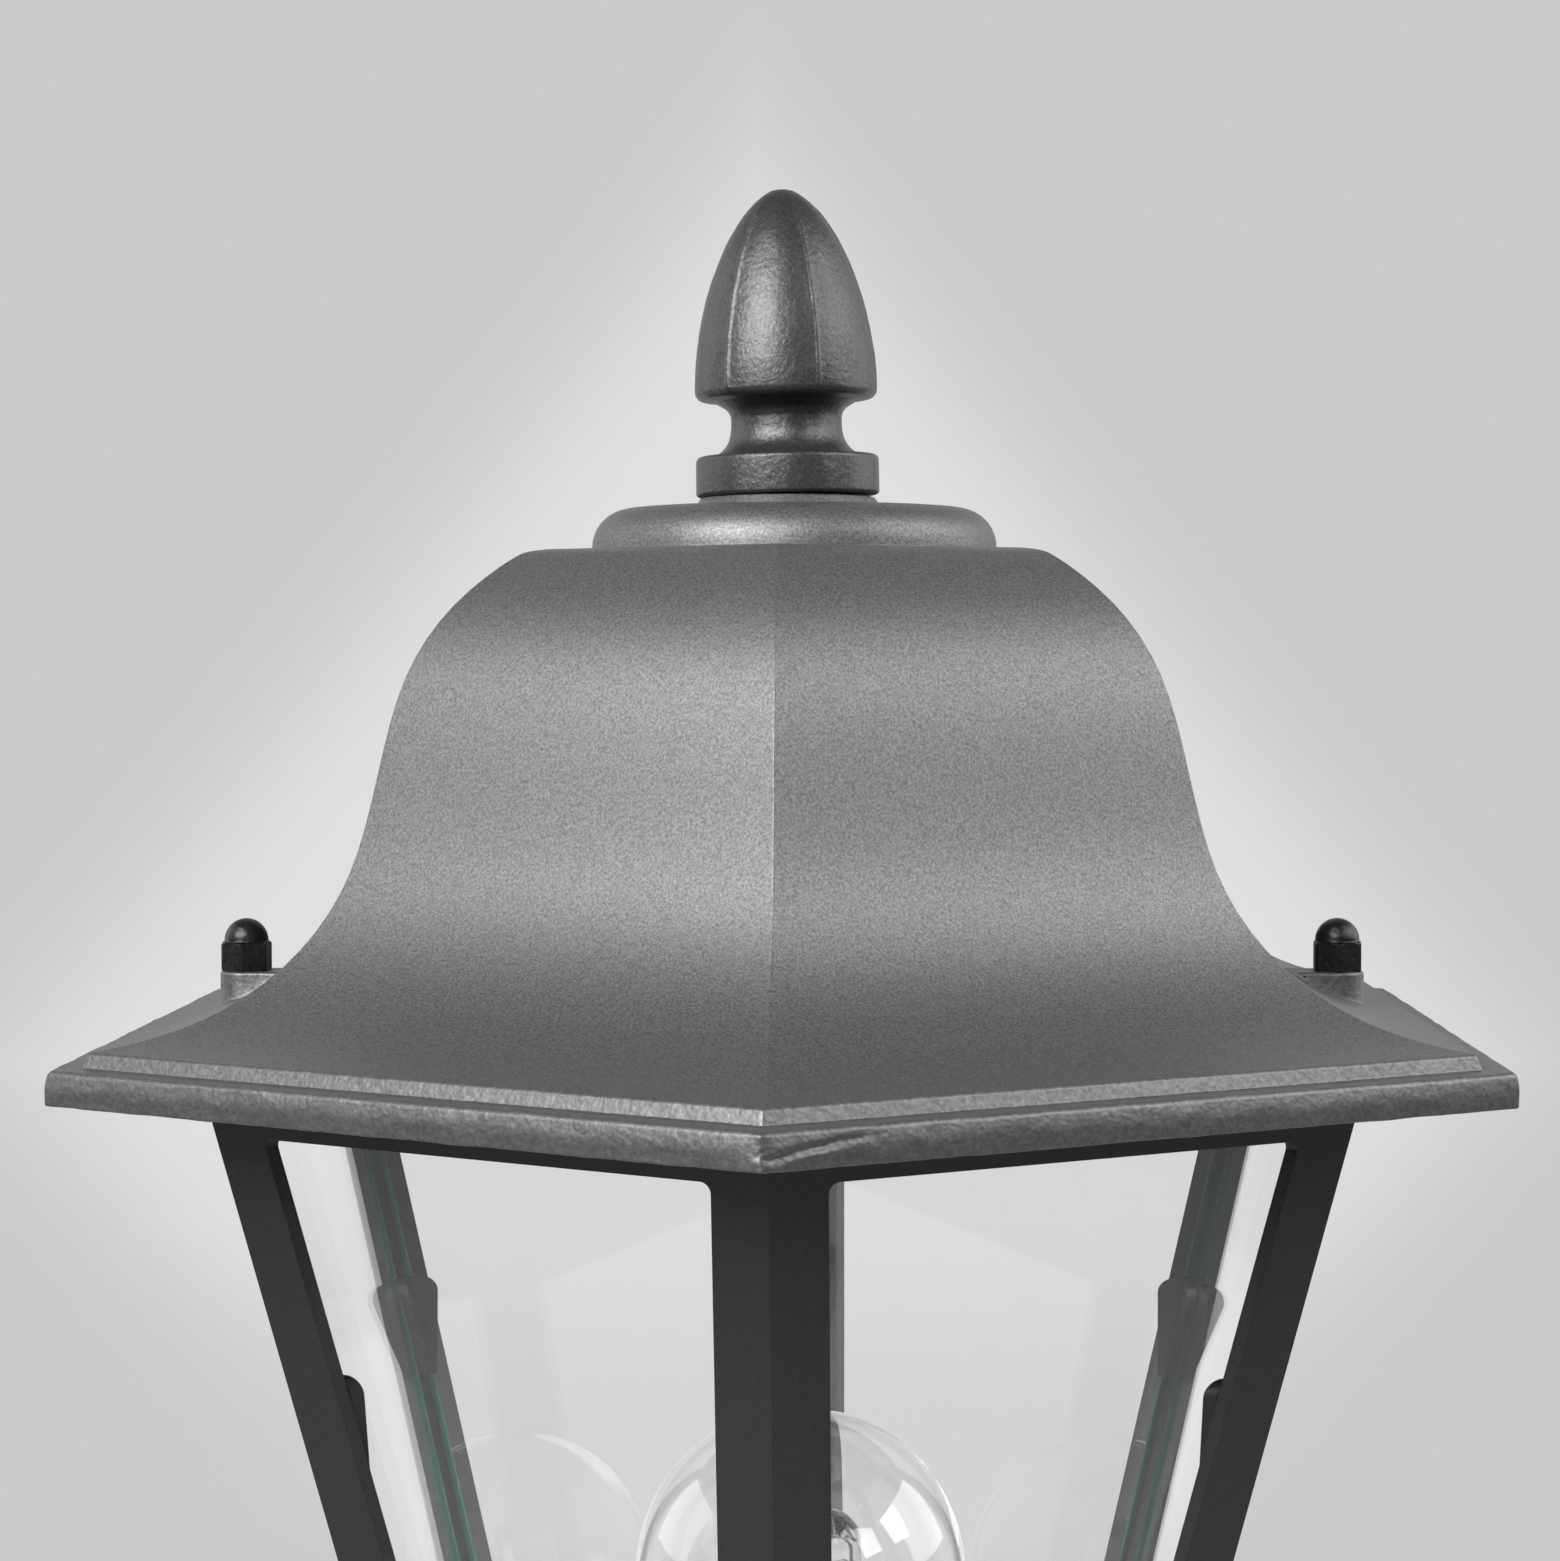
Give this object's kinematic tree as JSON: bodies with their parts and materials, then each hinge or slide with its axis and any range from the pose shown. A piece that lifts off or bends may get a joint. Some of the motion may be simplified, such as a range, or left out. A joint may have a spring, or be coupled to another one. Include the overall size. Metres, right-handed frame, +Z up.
{
  "type": "pedestal lamp",
  "caption": "Hexagonal outdoor pedestal lantern with a bell-shaped roof, acorn finial, tapered glazed cage, clear bulb and a hollow cast pedestal with a fixing flange.",
  "frame": {"origin": "centre of the pedestal's underside, on the surface that the lamp stands on", "axes": "+Z up along the lamp's axis; one corner of the lantern faces -Y, and the two cap nuts lie on X"},
  "size_m": [0.23, 0.2656, 0.4375],
  "materials": {
    "powder_coat": "fine-textured anthracite powder coat on cast aluminium",
    "nut_black": "satin black nylon",
    "zinc_steel": "zinc-plated steel",
    "pane_glass": "clear float glass, polished, green at the edges",
    "bulb_glass": "clear blown glass",
    "tungsten": "drawn wire",
    "brass": "nickel-washed brass",
    "black_glass": "black vitrite glass",
    "porcelain": "glazed porcelain",
    "black_rubber": "moulded rubber",
    "lead_sheath": "silicone sheath",
    "terminal_plastic": "moulded polyamide"
  },
  "bodies": {
    "root": {"roof": "powder_coat", "lantern_frame": "powder_coat", "finial": "powder_coat", "pedestal_foot": "powder_coat", "pedestal_cup": "powder_coat", "cap_nuts": "nut_black", "roof_studs": "zinc_steel", "finial_stud": "zinc_steel", "finial_washer": "zinc_steel", "finial_nut": "zinc_steel", "frame_screws": "zinc_steel", "holder_screws": "zinc_steel", "terminal_bridge": "zinc_steel", "bridge_screws": "zinc_steel", "neck_screw": "zinc_steel", "glass_pane_1": "pane_glass", "glass_pane_2": "pane_glass", "glass_pane_3": "pane_glass", "glass_pane_4": "pane_glass", "glass_pane_5": "pane_glass", "glass_pane_6": "pane_glass", "bulb_glass": "bulb_glass", "bulb_capsule": "bulb_glass", "bulb_stem": "bulb_glass", "bulb_filament": "tungsten", "bulb_wires": "tungsten", "bulb_cap": "brass", "bulb_contact": "brass", "holder_shell": "brass", "holder_contact": "brass", "earth_screw": "brass", "bulb_insulator": "black_glass", "holder_body": "porcelain", "pedestal_gasket": "black_rubber", "lead_grommet": "black_rubber", "holder_lead": "lead_sheath", "terminal_block": "terminal_plastic"}
  },
  "joints": []
}
